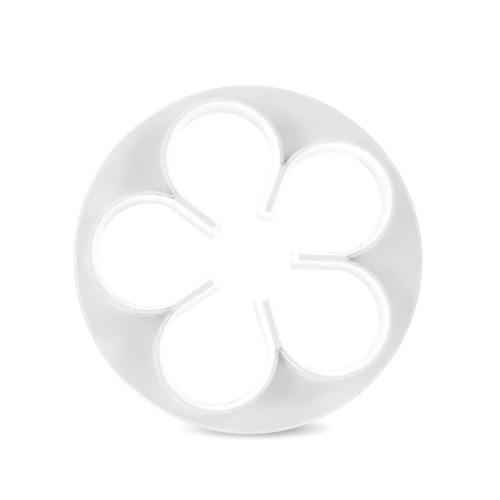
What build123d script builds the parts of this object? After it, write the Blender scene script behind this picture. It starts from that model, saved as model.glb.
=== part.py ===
from build123d import *
from math import cos, radians, sin
import os

# Five-petal blossom cutter, one moulding in rigid white plastic.
# A round flange lies flat on its back at z = 0. Round the flower-shaped opening a cutting wall stands up,
# and its cutting edge faces +Z. Five spokes, each shared by two petals, divide the opening and stop short
# of the middle. The moulding is divided into its members: the flange, five curved petal walls and five
# straight spokes.
# Sizes are in millimetres, and angles are in degrees.

# The flange
flange_radius = 50.0
flange_thickness = 2.5
flange_margin = 4.05  # from the foot of a petal's wall to the rim, where they come nearest
rim_front_round = 1.2
rim_back_chamfer = 0.3

# The flower
petal_count = 5
first_petal_angle = 90.0
overall_height = 12.5  # from the flange's back to the cutting edge

# The inner face of the wall, whose draft opens it towards the cutting edge
inner_draft = 0.7  # how much wider the opening is at the cutting edge than above the lip
lip_width = 0.35  # how far the lip stands in from the drafted face
lip_height = 1.0
edge_chamfer = 0.25  # on the inner side of the cutting edge

# The cutting edge and the outer face of the wall
land_width = 0.55
bevel_width = 0.55
bevel_height = 0.9
foot_draft = 0.45  # how much wider the wall stands at its foot than under the bevel
foot_chamfer = 0.4

# The spokes
spoke_edge_width = 1.93
spoke_back_width = 5.2
spoke_cover = 0.02  # how far a spoke stands proud of the neck between two petals, on each side
tip_back_radius = 11.6  # from the middle of the flower to the tip, at the back
tip_lean = 1.2  # how much further out the tip stands at the cutting edge
tip_flat = 0.4  # left between the tip's two rounded corners at the cutting edge
joint_length = 3.3  # from the neck to where a spoke ends and its two petal walls begin

# How far a cutting tool runs past what it cuts
overrun = 2.0

# Worked out from the sizes above: the petals fill the flange up to its margin, with a spoke between two
full_turn = 360.0
petal_step = full_turn / petal_count
half_step = petal_step / 2
half_sine = sin(radians(half_step))
wall_width = edge_chamfer + land_width + bevel_width + foot_draft  # at the wall's foot
neck_half_width = spoke_edge_width / 2 - spoke_cover
flower_reach = flange_radius - flange_margin - wall_width  # from the middle to a petal's outermost point
petal_edge_radius = (flower_reach * half_sine - neck_half_width) / (1 + half_sine)
petal_centre_radius = flower_reach - petal_edge_radius
petal_back_radius = petal_edge_radius - inner_draft - lip_width
neck_radius = petal_centre_radius * cos(radians(half_step))
land_radius = petal_edge_radius + edge_chamfer + land_width
bevel_radius = land_radius + bevel_width
foot_radius = bevel_radius + foot_draft
joint_radius = neck_radius + joint_length
root_radius = neck_radius + spoke_back_width  # where a spoke's foot ends, inside its two petal walls
tip_corner = (spoke_edge_width - tip_flat) / 2


def petal_angle(index):
    """Direction of a petal, seen from the cutting side."""
    return first_petal_angle + index * petal_step


def spoke_angle(index):
    """Direction of the spoke after that petal."""
    return petal_angle(index) + half_step


def at_petal(index):
    """The middle of a petal, on the flange's back."""
    return Rot(0, 0, petal_angle(index)) * Pos(petal_centre_radius, 0, 0)


def turned(points):
    """A half section of height against radius, turned about its petal's axis."""
    return revolve(Plane.XZ * make_face(Polyline(*points, close=True)), Axis.Z)


def plate():
    """The whole round plate, before the flower is cut through it."""
    disc = extrude(Circle(flange_radius), flange_thickness)
    rims = disc.edges().group_by(Axis.Z)
    disc = fillet(rims[-1], rim_front_round)
    return chamfer(disc.edges().group_by(Axis.Z)[0], rim_back_chamfer)


def wall_blank():
    """The outside of a petal's wall, filled in: chamfered foot, drafted face, bevel and land."""
    buried = flange_thickness / 2
    return turned(
        [
            (0, buried),
            (foot_radius + foot_chamfer, buried),
            (foot_radius + foot_chamfer, flange_thickness),
            (foot_radius, flange_thickness + foot_chamfer),
            (bevel_radius, overall_height - bevel_height),
            (land_radius, overall_height),
            (0, overall_height),
        ]
    )


def petal_opening():
    """What is taken out of a petal: the lip's bore, the drafted face and the chamfered inner edge."""
    mouth = petal_edge_radius + edge_chamfer
    return turned(
        [
            (0, -overrun),
            (petal_back_radius, -overrun),
            (petal_back_radius, lip_height),
            (petal_back_radius + lip_width, lip_height),
            (petal_edge_radius, overall_height - edge_chamfer),
            (mouth, overall_height),
            (mouth, overall_height + overrun),
            (0, overall_height + overrun),
        ]
    )


def spoke_lip():
    """The widest part of a spoke, at its back, with the tip's two corners rounded."""
    length = root_radius - tip_back_radius
    outline = Pos(tip_back_radius + length / 2, 0) * Rectangle(length, spoke_back_width)
    return extrude(fillet(outline.vertices().group_by(Axis.X)[0], tip_corner + lip_width), lip_height)


def spoke_bar():
    """A spoke above its lip, along +X: the section drawn out along it and trimmed to its side view."""
    low_half_width = spoke_back_width / 2 - lip_width
    edge_half_width = spoke_edge_width / 2
    section = Polyline(
        (-low_half_width, lip_height),
        (low_half_width, lip_height),
        (edge_half_width, overall_height),
        (-edge_half_width, overall_height),
        close=True,
    )
    side_view = Polyline(
        (tip_back_radius + lip_width, lip_height),
        (root_radius, lip_height),
        (joint_radius, overall_height),
        (tip_back_radius + tip_lean, overall_height),
        close=True,
    )
    drawn_out = extrude(Plane.YZ * make_face(section), root_radius)
    bar = drawn_out & extrude(Plane.XZ * make_face(side_view), spoke_back_width, both=True)
    tip_face = bar.faces().sort_by(Axis.X)[0]
    bar = fillet(tip_face.edges().filter_by(Axis.Y, reverse=True), tip_corner)
    crest = bar.faces().sort_by(Axis.Z)[-1]
    return chamfer(crest.edges().sort_by(Axis.X)[:-1], edge_chamfer)


def moulding():
    """The whole cutter in one piece, before it is divided into its members."""
    body = plate()
    for index in range(petal_count):
        body += at_petal(index) * wall_blank()
    for index in range(petal_count):
        body -= at_petal(index) * petal_opening()
    hub_height = overall_height + 2 * overrun
    body -= Pos(0, 0, -overrun) * extrude(Circle(neck_radius), hub_height)
    for index in range(petal_count):
        body += Rot(0, 0, spoke_angle(index)) * (spoke_lip() + spoke_bar())
    return body


def spoke_cell(index):
    """The space that belongs to one spoke: out to its joint, and wider than its foot."""
    cell = Box(
        joint_radius,
        2 * spoke_back_width,
        overall_height + 2 * overrun,
        align=(Align.MIN, Align.CENTER, Align.MIN),
    )
    return Rot(0, 0, spoke_angle(index)) * Pos(0, 0, -overrun) * cell


def petal_cell(index):
    """The space that belongs to one petal's wall: its own sector, above the flange."""
    reach = 2 * flange_radius
    sector = make_face(
        Polyline(
            (0, 0),
            (reach * cos(radians(half_step)), -reach * sin(radians(half_step))),
            (reach * cos(radians(half_step)), reach * sin(radians(half_step))),
            close=True,
        )
    )
    height = overall_height - flange_thickness + overrun
    return Rot(0, 0, petal_angle(index)) * Pos(0, 0, flange_thickness) * extrude(sector, height)


def members():
    """Every member of the moulding by name, each a solid that meets its neighbours face to face."""
    body = moulding()
    cells = [spoke_cell(index) for index in range(petal_count)]
    found = {}
    rest = body
    for index, cell in enumerate(cells):
        found[f"spoke_{index + 1}"] = body & cell
        rest -= cell
    for index in range(petal_count):
        found[f"petal_wall_{index + 1}"] = rest & petal_cell(index)
    slab = Cylinder(
        flange_radius + overrun,
        flange_thickness + overrun,
        align=(Align.CENTER, Align.CENTER, Align.MAX),
    )
    found["flange"] = rest & Pos(0, 0, flange_thickness) * slab
    return found


os.makedirs("parts", exist_ok=True)
for name, shape in members().items():
    solids = shape.solids()
    print(name, len(solids), "solid", round(shape.volume, 1), "mm3")
    export_step(solids[0] if len(solids) == 1 else Compound(solids), f"parts/{name}.step")
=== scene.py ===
# %% [markdown]
# # A five-petal cutter in white plastic
# This kitchen cutter is one moulding: a round flange, a flower-shaped opening through it, and a thin cutting
# wall that stands up round that opening. The sizes come from a CAD model, which is loaded first as a fixed
# frame. Everything that is drawn below is placed by that frame and stays inside its box.

# %% Load the measured part
from math import atan2, cos, pi, radians, sin, sqrt, tan

import bmesh
import bpy
from mathutils import Matrix, Vector


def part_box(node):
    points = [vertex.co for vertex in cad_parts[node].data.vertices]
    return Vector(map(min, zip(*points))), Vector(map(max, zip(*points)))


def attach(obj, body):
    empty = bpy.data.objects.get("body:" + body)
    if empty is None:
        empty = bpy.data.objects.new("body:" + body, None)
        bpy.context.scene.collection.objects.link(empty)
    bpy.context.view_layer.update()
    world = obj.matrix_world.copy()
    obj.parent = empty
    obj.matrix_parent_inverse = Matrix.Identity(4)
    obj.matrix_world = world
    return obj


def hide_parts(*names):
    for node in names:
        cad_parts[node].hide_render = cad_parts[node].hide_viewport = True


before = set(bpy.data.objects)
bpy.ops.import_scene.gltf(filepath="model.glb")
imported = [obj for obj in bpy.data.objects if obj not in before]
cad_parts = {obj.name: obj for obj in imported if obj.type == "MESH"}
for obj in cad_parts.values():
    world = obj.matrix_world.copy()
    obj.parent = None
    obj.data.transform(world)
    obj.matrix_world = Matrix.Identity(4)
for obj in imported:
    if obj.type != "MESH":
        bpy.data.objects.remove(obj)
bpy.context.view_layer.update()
mm = 0.001
flange_low, flange_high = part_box("flange")
_, wall_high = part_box("petal_wall_1")
print("members:", ", ".join(sorted(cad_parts)))
print("flange across:", round((flange_high.x - flange_low.x) / mm, 2), "mm")
print("height of the cutting edge:", round(wall_high.z / mm, 2), "mm")

# %% [markdown]
# ## The camera
# The cutter lies on its back and the camera looks down at it, almost square on, a little from below and from
# the left. Three turns say that: one tips it up, one tips it sideways and one rolls it. A long lens from
# a third of a metre away gives the mild perspective in which the cutting edge looks larger than the back.

# %% Place the camera
camera_distance = 359.8 * mm
lens_length = 90.25
sensor_width = 36.0
tip_up = radians(-3.88)
tip_sideways = radians(3.24)
roll = radians(16.25)
object_right = -0.27 * mm  # where the middle of the flange's back stands in the picture
object_up = -2.38 * mm

turn = Matrix.Rotation(tip_up, 3, "X") @ Matrix.Rotation(tip_sideways, 3, "Y") @ Matrix.Rotation(roll, 3, "Z")


def from_picture(right, up, towards):
    """A direction or place given as seen in the picture, turned into the part's own frame."""
    return turn.transposed() @ Vector((right, up, towards))


camera_data = bpy.data.cameras.new("camera")
camera_data.lens = lens_length
camera_data.sensor_width = sensor_width
camera = bpy.data.objects.new("camera", camera_data)
bpy.context.scene.collection.objects.link(camera)
place = from_picture(-object_right, -object_up, camera_distance)
camera.matrix_world = Matrix.Translation(place) @ turn.transposed().to_4x4()
bpy.context.scene.camera = camera
bpy.context.scene.view_settings.view_transform = "Standard"
print("camera at", [round(v / mm) for v in place], "mm")

# %% [markdown]
# ## Helpers for node materials
# Every finish here is a small graph of nodes. A graph is easier to read in a script when adding a node and
# setting its values is one line, so this helper takes the values by the names of the sockets.


# %% A helper that adds a node
def add_node(tree, kind, values=None, **settings):
    """Add a node, set its own settings, and fill its sockets with values or with other nodes' outputs."""
    node = tree.nodes.new(kind)
    for name, value in settings.items():
        setattr(node, name, value)
    for name, value in (values or {}).items():
        if isinstance(value, bpy.types.NodeSocket):
            tree.links.new(value, node.inputs[name])
        else:
            node.inputs[name].default_value = value
    return node


def new_material(name):
    """An empty node material and its output node."""
    material = bpy.data.materials.new(name)
    material.use_nodes = True
    material.node_tree.nodes.clear()
    return material, material.node_tree.nodes.new("ShaderNodeOutputMaterial")


def seen_directly(tree):
    """1 for rays that should meet plain white: straight from the camera, by reflection or through a part."""
    path = add_node(tree, "ShaderNodeLightPath")
    seen = path.outputs["Is Camera Ray"]
    for ray in ("Is Glossy Ray", "Is Transmission Ray"):
        either = add_node(tree, "ShaderNodeMath", {0: seen, 1: path.outputs[ray]}, operation="MAXIMUM")
        seen = either.outputs[0]
    return seen


# %% [markdown]
# ## The floor
# The picture's background is pure white, right up to the plastic and in every opening. A lit floor alone
# would need so much light for that that the cutter would burn out. So the floor shows most of its white as
# a glow that only direct views see, and a share of real shading on top, which keeps a thin contact shadow.
# Under the opening the floor is also a light panel: it lights the inner faces of the wall from below, and
# fades out before it reaches the rim.
#
# In the picture the cutter stands on its rim, and a soft dark ellipse lies under the lowest point. Here it
# lies on its back, so no lamp could throw that shadow. It is drawn into the floor's own finish instead, from
# the place on the floor: a distance from the ellipse's middle, measured in its own two half widths.

# %% Make the floor
floor_size = 3.0
floor_white = (0.3, 0.3, 0.3, 1)
floor_shade = (0.22, 0.22, 0.22, 1)
floor_glow = 0.88
panel_light = 0.93
panel_radius = (46.0 * mm, 49.5 * mm)  # under the flange, the light panel fades between these
shadow_right = 2.28 * mm  # the ellipse's middle, as seen in the picture from the middle of the flange
shadow_down = 48.66 * mm
shadow_half_width = 13.2 * mm
shadow_half_depth = 1.97 * mm
shadow_depth = 0.67
shadow_fall = 2.77


def ellipse_shadow(tree, position):
    """How dark the drawn shadow is at a place on the floor: a soft bell, deepest in the middle."""
    middle = from_picture(shadow_right, -shadow_down, 0)
    sideways = from_picture(1, 0, 0)
    ellipse = {
        "Vector": position,
        "Location": (middle.x, middle.y, 0),
        "Rotation": (0, 0, atan2(sideways.y, sideways.x)),
        "Scale": (shadow_half_width, shadow_half_depth, 1),
    }
    place = add_node(tree, "ShaderNodeMapping", ellipse, vector_type="TEXTURE")
    away = add_node(tree, "ShaderNodeVectorMath", {0: place.outputs[0]}, operation="LENGTH").outputs["Value"]
    fall = add_node(tree, "ShaderNodeMath", {0: away, 1: shadow_fall}, operation="POWER")
    halved = add_node(tree, "ShaderNodeMath", {0: fall.outputs[0], 1: -0.5}, operation="MULTIPLY")
    soft = add_node(tree, "ShaderNodeMath", {0: halved.outputs[0]}, operation="EXPONENT")
    dark = add_node(tree, "ShaderNodeMath", {0: soft.outputs[0], 1: shadow_depth}, operation="MULTIPLY")
    return dark.outputs[0]


def floor_material():
    """A white floor: plain diffuse and a light panel to the plastic, and mostly glow to direct views."""
    material, output = new_material("white_floor")
    tree = material.node_tree
    position = add_node(tree, "ShaderNodeNewGeometry").outputs["Position"]
    lit = add_node(tree, "ShaderNodeBsdfDiffuse", {"Color": floor_white})
    away = add_node(tree, "ShaderNodeVectorMath", {0: position}, operation="LENGTH").outputs["Value"]
    across_edge = {"Value": away, "From Min": panel_radius[0], "From Max": panel_radius[1]}
    fade = add_node(tree, "ShaderNodeMapRange", across_edge | {"To Min": panel_light, "To Max": 0.0})
    panel = add_node(tree, "ShaderNodeEmission", {"Strength": fade.outputs["Result"]})
    real = add_node(tree, "ShaderNodeAddShader", {0: lit.outputs[0], 1: panel.outputs[0]})
    shaded = add_node(tree, "ShaderNodeBsdfDiffuse", {"Color": floor_shade})
    glow = add_node(tree, "ShaderNodeEmission", {"Strength": floor_glow})
    white = add_node(tree, "ShaderNodeAddShader", {0: shaded.outputs[0], 1: glow.outputs[0]})
    shown = add_node(tree, "ShaderNodeMixShader", {0: ellipse_shadow(tree, position), 1: white.outputs[0]})
    both = {0: seen_directly(tree), 1: real.outputs[0], 2: shown.outputs[0]}
    tree.links.new(add_node(tree, "ShaderNodeMixShader", both).outputs[0], output.inputs["Surface"])
    return material


def flat_sheet(name, half_size):
    """A square stage sheet on the floor's level."""
    corners = [(-half_size, -half_size, 0), (half_size, -half_size, 0), (half_size, half_size, 0),
               (-half_size, half_size, 0)]
    mesh = bpy.data.meshes.new(name)
    mesh.from_pydata(corners, [], [(0, 1, 2, 3)])
    sheet = bpy.data.objects.new(name, mesh)
    bpy.context.scene.collection.objects.link(sheet)
    return sheet


floor = flat_sheet("floor", floor_size / 2)
floor.data.materials.append(floor_material())
print("floor", floor_size, "m square, with a shadow", round(4 * shadow_half_width / mm), "mm long")

# %% [markdown]
# ## Light
# The studio is a bright tent with soft boxes round it, half a metre away, and one small box close by. Light
# comes from every side, because the notches in the picture have only faint shadows, but a little less of it
# reaches the right, where the flange is the darkest. The boxes at the top and bottom of the picture stand
# low, because a low box lights the walls more than the flat flange. The tent itself is brighter near the
# floor than straight above for the same reason: the flange stays a light grey beside the whiter walls. The
# surround shows as white to the camera and in reflections, while the light that it gives is set apart, so
# the plastic keeps its own tone.

# %% Light the set
tent_light = {"above": 0.23, "top and bottom": 1.13, "sides": 0.48}  # of the picture, at the horizon
soft_boxes = {  # degrees from the picture's right towards its top, degrees up, distance and side in m, watts
    "right": (30, 32, 0.5, 0.15, 0.57),
    "bottom_right": (330, 32, 0.5, 0.15, 0.19),
    "near_bottom_right": (315, 45, 0.22, 0.09, 0.023),
    "bottom": (300, 10, 0.5, 0.15, 0.27),
    "bottom_left": (235, 17, 0.5, 0.15, 0.53),
    "top_left": (150, 32, 0.5, 0.15, 0.38),
    "top": (120, 10, 0.5, 0.15, 0.38),
    "left": (180, 55, 0.5, 0.15, 0.34),
}


def soft_box(name, bearing, rise, distance, side, power):
    """A square lamp that is turned towards the cutter."""
    data = bpy.data.lights.new(name, "AREA")
    data.shape = "SQUARE"
    data.size = side
    data.energy = power
    light = bpy.data.objects.new(name, data)
    along = Vector((cos(radians(bearing)), sin(radians(bearing)), 0)) * cos(radians(rise))
    light.location = from_picture(along.x, along.y, sin(radians(rise))) * distance
    light.rotation_euler = (-light.location).to_track_quat("-Z", "Y").to_euler()
    light.visible_camera = False
    bpy.context.scene.collection.objects.link(light)


def tent_world():
    """A surround that looks plain white, while the light that it gives changes with the direction."""
    world = bpy.data.worlds.new("tent")
    world.use_nodes = True
    tree = world.node_tree
    tree.nodes.clear()
    direction = add_node(tree, "ShaderNodeTexCoord").outputs["Generated"]
    height = add_node(tree, "ShaderNodeSeparateXYZ", {0: direction}).outputs["Z"]
    to_the_side = {0: direction, 1: from_picture(1, 0, 0)}
    sideways = add_node(tree, "ShaderNodeVectorMath", to_the_side, operation="DOT_PRODUCT").outputs["Value"]
    squared = add_node(tree, "ShaderNodeMath", {0: sideways, 1: 2.0}, operation="POWER").outputs[0]
    round_horizon = {"Value": squared, "To Min": tent_light["top and bottom"], "To Max": tent_light["sides"]}
    horizon = add_node(tree, "ShaderNodeMapRange", round_horizon).outputs["Result"]
    strength = add_node(tree, "ShaderNodeMix", {"Factor": height, "A": horizon, "B": tent_light["above"]})
    pale = {"Color": (1, 1, 1, 1)}
    tent = add_node(tree, "ShaderNodeBackground", pale | {"Strength": strength.outputs["Result"]})
    white = add_node(tree, "ShaderNodeBackground", pale | {"Strength": 1.0})
    both = {0: seen_directly(tree), 1: tent.outputs[0], 2: white.outputs[0]}
    output = add_node(tree, "ShaderNodeOutputWorld")
    tree.links.new(add_node(tree, "ShaderNodeMixShader", both).outputs[0], output.inputs["Surface"])
    return world


bpy.context.scene.world = tent_world()
for name, values in soft_boxes.items():
    soft_box(f"soft_box_{name}", *values)
print("soft boxes:", len(soft_boxes))

# %% [markdown]
# ## The plastic
# The real cutter is injection moulded in a hard white plastic with a satin gloss. The mould leaves faint
# clouds in the gloss. The white also darkens a little in soft random clouds, which are painted reflections:
# they stand in for the cloudy reflections of the surroundings on the satin surface. Both come from soft noise
# in the part's own coordinates, so the finish runs on from one member to the next without a seam.

# %% Mix the white plastic
plastic_light = (0.9, 0.9, 0.9, 1)
# the darker white of the soft clouds, which are painted reflections
plastic_painted_cloud = (0.845, 0.845, 0.845, 1)
plastic_gloss = (0.18, 0.26)
refractive_index = 1.49  # of such plastics, and it sets how much they reflect
cloud_scale = 55.0
cloud_detail = 3.0
cloud_range = (0.3, 0.7)  # the noise's own values, between which the gloss changes
grain_scale = 900.0
grain_detail = 2.0
grain_depth = 0.02 * mm
grain_strength = 0.06


def plastic_material():
    """Satin white plastic with faint clouds in its gloss, painted reflections as soft clouds in its colour,
    and a fine moulded grain.
    """
    material, output = new_material("white_plastic")
    tree = material.node_tree
    where = add_node(tree, "ShaderNodeTexCoord").outputs["Object"]
    cloud_noise = {"Vector": where, "Scale": cloud_scale, "Detail": cloud_detail}
    clouds = add_node(tree, "ShaderNodeTexNoise", cloud_noise).outputs["Fac"]
    # the white darkens in soft random clouds: painted reflections of the surroundings on the satin surface
    colours = {"Factor": clouds, "A": plastic_light, "B": plastic_painted_cloud}
    painted_cloud_tint = add_node(tree, "ShaderNodeMix", colours, data_type="RGBA")
    from_clouds = {"Value": clouds, "From Min": cloud_range[0], "From Max": cloud_range[1]}
    to_gloss = {"To Min": plastic_gloss[0], "To Max": plastic_gloss[1]}
    gloss = add_node(tree, "ShaderNodeMapRange", from_clouds | to_gloss)
    grain_noise = {"Vector": where, "Scale": grain_scale, "Detail": grain_detail}
    grain = add_node(tree, "ShaderNodeTexNoise", grain_noise).outputs["Fac"]
    raised = {"Height": grain, "Distance": grain_depth, "Strength": grain_strength}
    bump = add_node(tree, "ShaderNodeBump", raised)
    finish = {
        "Base Color": painted_cloud_tint.outputs["Result"],
        "Roughness": gloss.outputs["Result"],
        "Normal": bump.outputs["Normal"],
        "IOR": refractive_index,
    }
    shader = add_node(tree, "ShaderNodeBsdfPrincipled", finish)
    tree.links.new(shader.outputs[0], output.inputs["Surface"])
    return material


plastic = plastic_material()

# %% [markdown]
# ## Sizes of the moulding
# The flange's size, its thickness and the height of the cutting edge are read from the frame. The rest are
# the moulding's own small sizes: how far its faces lean so that it leaves the mould, and how wide the lip,
# the flat land and the bevel of the cutting edge are. The petals' radius follows from them: five petals
# fill the flange up to its margin, with a spoke between every two.

# %% Name the sizes
flange_radius = min(-flange_low.x, -flange_low.y, flange_high.x, flange_high.y)
flange_thickness = flange_high.z
overall_height = wall_high.z
flange_margin = 4.05 * mm
rim_front_round = 1.2 * mm
rim_back_round = 0.3 * mm
petal_count = 5
first_petal_angle = radians(90)
inner_draft = 0.7 * mm
lip_width = 0.35 * mm
lip_height = 1.0 * mm
lip_run = 3.0 * mm  # height over which the lip runs out into the leaning face
edge_round = 0.4 * mm
land_width = 0.4 * mm
bevel_width = 0.55 * mm
bevel_height = 0.9 * mm
foot_draft = 0.45 * mm
foot_fillet = 0.35 * mm
spoke_edge_width = 1.93 * mm
spoke_back_width = 5.2 * mm
spoke_cover = 0.02 * mm
tip_back_radius = 11.6 * mm
tip_lean = 1.2 * mm
tip_flat = 0.4 * mm
joint_length = 3.3 * mm
web_fillet = 6.0 * mm
notch_fillet = 0.2 * mm
notch_slope = 1.0  # how much faster than the wall's outside the notch runs outwards as it goes down

petal_step = 2 * pi / petal_count
half_step = petal_step / 2
wall_width = edge_round + land_width + bevel_width + foot_draft
neck_half_width = spoke_edge_width / 2 - spoke_cover
flower_reach = flange_radius - flange_margin - wall_width
petal_edge_radius = (flower_reach * sin(half_step) - neck_half_width) / (1 + sin(half_step))
petal_centre_radius = flower_reach - petal_edge_radius
neck_radius = petal_centre_radius * cos(half_step)
neck_offset = petal_centre_radius * sin(half_step)
joint_radius = neck_radius + joint_length
land_radius = petal_edge_radius + edge_round + land_width
bevel_radius = land_radius + bevel_width
foot_radius = bevel_radius + foot_draft
tip_corner = (spoke_edge_width - tip_flat) / 2
print("petal radius at the cutting edge:", round(petal_edge_radius / mm, 2), "mm")
print("petals' middles at:", round(petal_centre_radius / mm, 2), "mm from the middle")

# %% [markdown]
# ## Rows of the opening's wall
# The wall of the opening is drawn as rows, one above the other, from the back to the cutting edge. A row
# knows its height, how far down the leaning face it is (0 at the cutting edge, 1 at the lip), and how far it
# stands in from that face. At the back it stands in by the lip, which runs out softly a little further up.
# At the top, the row turns over in a small round.

# %% Describe the rows
round_steps = 8
face_top = overall_height - edge_round
face_height = face_top - lip_height


def leaning_row(height):
    """A row on the leaning face: its height, its lean and what is left of the lip's step in."""
    left = max(1 - (height - lip_height) / lip_run, 0.0)
    return (height, (face_top - height) / face_height, lip_width * left**2)


def turned_edge(step):
    """A row on the small round at the inner side of the cutting edge."""
    angle = step / round_steps * pi / 2
    return (face_top + edge_round * sin(angle), 0.0, -edge_round * (1 - cos(angle)))


edge_rows = [turned_edge(step) for step in range(1, round_steps + 1)]
lip_rows = [(0.0, 1.0, lip_width), (lip_height, 1.0, lip_width)]
run_top = lip_height + lip_run
run_heights = [flange_thickness + (run_top - flange_thickness) * share for share in (0.0, 0.5, 1.0)]
low_heights = [lip_height + (flange_thickness - lip_height) * share for share in (0.25, 0.5, 0.75)]
face_heights = run_heights + [(run_heights[-1] + face_top) / 2, face_top]
print("rows on the edge's round:", len(edge_rows), "and on the face:", len(low_heights + face_heights))

# %% [markdown]
# ## The outline of the opening
# Seen from above, a row follows a petal's arc, then a soft fillet, and then the straight side of a spoke.
# It helps to look at it from one spoke: the spoke lies along x, and the petal's middle stands to its side.
# One function gives the spoke's half width at any x, and the other gives the distance from the petal's
# middle at any angle, which is what the petal's wall needs.


# %% Work out the outline
def row_sizes(row):
    """The petal's radius and the spoke's half width, tip and tip corner on a row."""
    height, lean, step_in = row
    radius = petal_edge_radius - inner_draft * lean - step_in
    low_half_width = spoke_back_width / 2 - lip_width
    half_width = spoke_edge_width / 2 + (low_half_width - spoke_edge_width / 2) * lean + step_in
    tip = tip_back_radius + tip_lean - (tip_lean - lip_width) * lean - step_in
    corner = tip_corner + step_in
    return radius, half_width, tip, corner


def web_points(radius, half_width):
    """Where the fillet between spoke and petal begins on the spoke and ends on the arc, along x."""
    side = neck_offset - half_width - web_fillet
    run = sqrt(max((radius - web_fillet) ** 2 - side**2, 0.0))
    return neck_radius + run, neck_radius + run * radius / (radius - web_fillet)


def side_at(x, radius, half_width):
    """Distance from the spoke's middle line to the wall, x away from the middle of the flower."""
    fillet_start, fillet_end = web_points(radius, half_width)
    if x <= fillet_start:
        return half_width
    if x < fillet_end:
        return half_width + web_fillet - sqrt(web_fillet**2 - (x - fillet_start) ** 2)
    return neck_offset - sqrt(radius**2 - (x - neck_radius) ** 2)


def reach_at(angle, radius, half_width):
    """Distance from the petal's middle to the wall, at an angle from the petal's outward direction."""
    way = Vector((cos(half_step - abs(angle)), sin(half_step - abs(angle))))
    fillet_start, fillet_end = web_points(radius, half_width)
    if way.y >= 0 or neck_radius + radius * way.x >= fillet_end:
        return radius
    centre = Vector((fillet_start - neck_radius, half_width + web_fillet - neck_offset))
    along_way = centre.dot(way)
    far = along_way + sqrt(max(along_way**2 - centre.length_squared + web_fillet**2, 0.0))
    if neck_radius + far * way.x >= fillet_start:
        return far
    return (neck_offset - half_width) / -way.y


def end_angle(side):
    """Angle from the petal's outward direction to the joint, side away from the spoke's middle line."""
    return half_step - atan2(side - neck_offset, joint_length)


# %% [markdown]
# ## Two helpers for meshes
# A corner of a drawn section is rounded by swapping it for a short arc. And a grid of points becomes a mesh
# when each point is joined to its neighbours, with the open ends closed by one flat face each. The normals
# are smooth except across real edges, and are weighted by face size, so flat faces stay flat next to small
# rounds.


# %% Round corners and build grids
sharp_angle = radians(24)  # two faces that meet at more than this keep a crisp edge


def rounded(points, rounds):
    """A path of straight runs with its inner corners rounded: rounds has a radius for each inner corner."""
    path = [Vector(points[0])]
    for before, corner, after, radius in zip(points, points[1:], points[2:], rounds):
        to_before = (Vector(before) - Vector(corner)).normalized()
        to_after = (Vector(after) - Vector(corner)).normalized()
        half_angle = to_before.angle(to_after) / 2
        middle = Vector(corner) + (to_before + to_after).normalized() * radius / sin(half_angle)
        first = (Vector(corner) + to_before * radius / tan(half_angle) - middle).normalized()
        last = (Vector(corner) + to_after * radius / tan(half_angle) - middle).normalized()
        for step in range(round_steps + 1):
            path.append(middle + radius * first.slerp(last, step / round_steps))
    return path + [Vector(points[-1])]


def grid_piece(name, rows, row_loop, column_loop, cut_planes=()):
    """A closed mesh from rows of points. A side that isn't a loop is closed with flat ends."""
    mesh = bpy.data.meshes.new(name)
    grid = bmesh.new()
    verts = [[grid.verts.new(point) for point in row] for row in rows]
    height, width = len(rows), len(rows[0])
    for i in range(height if row_loop else height - 1):
        for j in range(width if column_loop else width - 1):
            above, beside = (i + 1) % height, (j + 1) % width
            grid.faces.new((verts[i][j], verts[i][beside], verts[above][beside], verts[above][j]))
    if not row_loop:
        grid.faces.new(list(reversed(verts[0])))
        grid.faces.new(verts[-1])
    if not column_loop:
        grid.faces.new([row[0] for row in verts])
        grid.faces.new([row[-1] for row in reversed(verts)])
    for point, normal in cut_planes:
        parts = list(grid.verts) + list(grid.edges) + list(grid.faces)
        bmesh.ops.bisect_plane(grid, geom=parts, plane_co=point, plane_no=normal, clear_outer=True)
        rim = [edge for edge in grid.edges if edge.is_boundary]
        if rim:
            bmesh.ops.contextual_create(grid, geom=rim)
    bmesh.ops.recalc_face_normals(grid, faces=grid.faces)
    grid.to_mesh(mesh)
    grid.free()
    mesh.shade_smooth()
    mesh.set_sharp_from_angle(angle=sharp_angle)
    mesh.materials.append(plastic)
    piece = bpy.data.objects.new(name, mesh)
    bpy.context.scene.collection.objects.link(piece)
    weights = piece.modifiers.new("flat_faces_stay_flat", "WEIGHTED_NORMAL")
    weights.keep_sharp = True
    return piece


def hand_over(piece, node):
    """The piece stands for a member of the frame and rides on the one body, and that member is hidden."""
    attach(piece, "root")
    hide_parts(node)


# %% [markdown]
# ## The petals' walls
# A petal's wall has one section all the way round: the leaning inner face, the small round, the flat land,
# the bevel and the outer face, with a fillet where it meets the flange. The section is carried round the
# petal's middle. Near the spokes the inner face leaves the circle and follows the outline above. Where two
# petals' outer faces run into each other, both are cut by the plane between them, which leaves the crisp
# crease of the real notch.

# %% Build the petals' walls
petal_stations = 128
petal_shares = [2 * station / petal_stations - 1 for station in range(petal_stations + 1)]
fillet_stations = 8
overlap = 0.1 * mm  # how far a wall runs past the plane between two petals before it is cut there


def petal_angle(index):
    """Direction of a petal, from the middle of the flower."""
    return first_petal_angle + index * petal_step


def spoke_angle(index):
    """Direction of the spoke after a petal."""
    return petal_angle(index) + half_step


def turned(x, y, angle, height):
    """A point at a height, turned by an angle about the middle of the flower."""
    return (x * cos(angle) - y * sin(angle), x * sin(angle) + y * cos(angle), height)


def around(centre_angle, distance, angle, height):
    """A point at a distance and an angle from a petal's middle, in the part's own frame."""
    return turned(petal_centre_radius + distance * cos(angle), distance * sin(angle), centre_angle, height)


def inner_curve(row, centre_angle):
    """Points of a row of the opening's wall, round one petal from joint to joint."""
    radius, half_width, _, _ = row_sizes(row)
    last = end_angle(side_at(joint_radius, radius, half_width))
    angles = [last * share for share in petal_shares]
    return [around(centre_angle, reach_at(angle, radius, half_width), angle, row[0]) for angle in angles]


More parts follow.
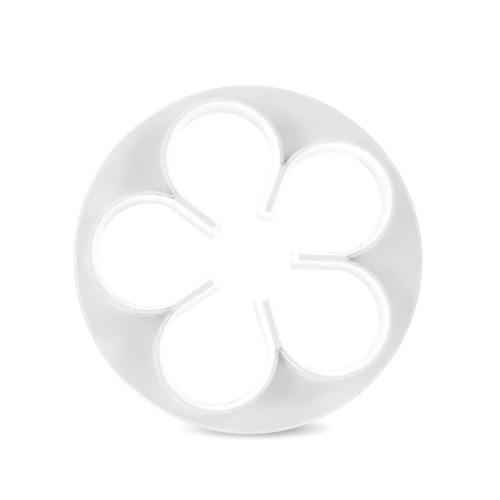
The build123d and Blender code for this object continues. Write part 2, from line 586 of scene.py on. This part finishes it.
def half_outside(radius):
    """Half of a row of the wall's outside, as places from the petal's middle with x along the spoke."""
    tip = joint_length + overlap + notch_slope * (radius - petal_edge_radius - edge_round)
    fillet_to_tip = (tip**2 + neck_offset**2 - radius**2) / (2 * (radius - tip))
    fillet = max(notch_fillet, fillet_to_tip)
    middle = Vector((sqrt((radius + fillet) ** 2 - neck_offset**2), -neck_offset))
    touching = atan2(middle.y, middle.x)
    arc_stations = petal_stations // 2 - fillet_stations - 1
    half = []
    for station in range(arc_stations + 1):
        angle = half_step + (touching - half_step) * station / arc_stations
        half.append(Vector((radius * cos(angle), radius * sin(angle))))
    for station in range(1, fillet_stations + 1):
        angle = pi + touching * (1 - station / fillet_stations)
        half.append(middle + fillet * Vector((cos(angle), sin(angle))))
    return half + [Vector((joint_length, -neck_offset - overlap))]


def outer_curve(radius, height, centre_angle):
    """Points of a row of the wall's outside: an arc, and at each end the notch's fillet and the joint."""
    half = half_outside(radius)
    points = []
    for side, stations in ((-1, half[:0:-1]), (1, half)):
        for x, y in stations:
            angle = side * (half_step - atan2(y, x))
            points.append(around(centre_angle, sqrt(x * x + y * y), angle, height))
    return points


land_round = 0.25 * mm
shoulder_round = 1.2 * mm
outside = rounded(
    [
        (petal_edge_radius + edge_round, overall_height),
        (land_radius, overall_height),
        (bevel_radius, overall_height - bevel_height),
        (foot_radius, flange_thickness),
        (foot_radius + 2 * foot_fillet, flange_thickness),
    ],
    [land_round, shoulder_round, foot_fillet],
)[1:-1]

for index in range(petal_count):
    centre_angle = petal_angle(index)
    face_rows = [leaning_row(height) for height in face_heights]
    rows = [inner_curve(row, centre_angle) for row in face_rows + edge_rows]
    rows += [outer_curve(radius, height, centre_angle) for radius, height in outside]
    planes = []
    for side in (-1, 1):
        wall_end = centre_angle + side * half_step
        planes.append(((0, 0, 0), (-side * sin(wall_end), side * cos(wall_end), 0)))
    wall = grid_piece(f"wall_of_petal_{index + 1}", rows, True, False, planes)
    hand_over(wall, f"petal_wall_{index + 1}")
print("points in a wall:", len(wall.data.vertices))

# %% [markdown]
# ## The spokes
# Each spoke is a small straight wall with a rounded tip, wide at its back and narrow at its land. It is
# drawn as closed outlines, one for each row, stacked from the back to the cutting edge.

# %% Build the spokes
side_stations = 16
corner_stations = 8


def spoke_outline(row):
    """A row's outline with the spoke along x: out along one side, round the tip and back along the other."""
    radius, half_width, tip, corner = row_sizes(row)
    corner = min(corner, half_width - spoke_cover)
    side = []
    for station in range(side_stations + 1):
        x = joint_radius + (tip + corner - joint_radius) * station / side_stations
        side.append((x, side_at(x, radius, half_width)))
    for station in range(1, corner_stations + 1):
        angle = pi / 2 + station / corner_stations * pi / 2
        side.append((tip + corner + corner * cos(angle), half_width - corner + corner * sin(angle)))
    mirrored = [(x, -y) for x, y in reversed(side)]
    return side + mirrored


face_rows = [leaning_row(height) for height in low_heights + face_heights]
for index in range(petal_count):
    rows = []
    for row in lip_rows + face_rows + edge_rows:
        rows.append([turned(x, y, spoke_angle(index), row[0]) for x, y in spoke_outline(row)])
    spoke = grid_piece(f"bar_of_spoke_{index + 1}", rows, False, True)
    hand_over(spoke, f"spoke_{index + 1}")
print("points in a spoke:", len(spoke.data.vertices))

# %% [markdown]
# ## The flange
# The flange is a ring with a flower-shaped inside and a round outside. Its section runs from the back, up
# over the lip and the start of the leaning face, across the top, over the rounded rim and back underneath.
# The rows of the inside follow the opening's outline, and between two petals they run straight across the
# end of a spoke. The rows of the rim are circles with as many points.

# %% Build the flange
across_stations = 6
across_shares = [2 * station / across_stations - 1 for station in range(1, across_stations)]
across_share = 0.08  # of the angle between two petals, given to the end of a spoke
across_part = half_step * across_share
petal_part = half_step - across_part


def inner_ring(row):
    """A row of the flange's inside, all the way round the flower."""
    radius, half_width, _, _ = row_sizes(row)
    side = side_at(joint_radius, radius, half_width)
    points = []
    for index in range(petal_count):
        points += inner_curve(row, petal_angle(index))
        points += [turned(joint_radius, side * share, spoke_angle(index), row[0]) for share in across_shares]
    return points


def rim_ring(radius, height):
    """A circle with as many points as the inside, each beside the point that it belongs to."""
    points = []
    for index in range(petal_count):
        bearings = [petal_angle(index) + petal_part * share for share in petal_shares]
        bearings += [spoke_angle(index) + across_part * share for share in across_shares]
        points += [(radius * cos(bearing), radius * sin(bearing), height) for bearing in bearings]
    return points


rim = rounded(
    [
        (flange_radius - 2 * rim_front_round, flange_thickness),
        (flange_radius, flange_thickness),
        (flange_radius, 0.0),
        (flange_radius - 2 * rim_front_round, 0.0),
    ],
    [rim_front_round, rim_back_round],
)
inner_rows = lip_rows + [leaning_row(height) for height in low_heights + face_heights[:1]]
rows = [inner_ring(row) for row in inner_rows]
rows += [rim_ring(radius, height) for radius, height in rim]
flange = grid_piece("flange_plate", rows, True, True)
hand_over(flange, "flange")
print("points in the flange:", len(flange.data.vertices))
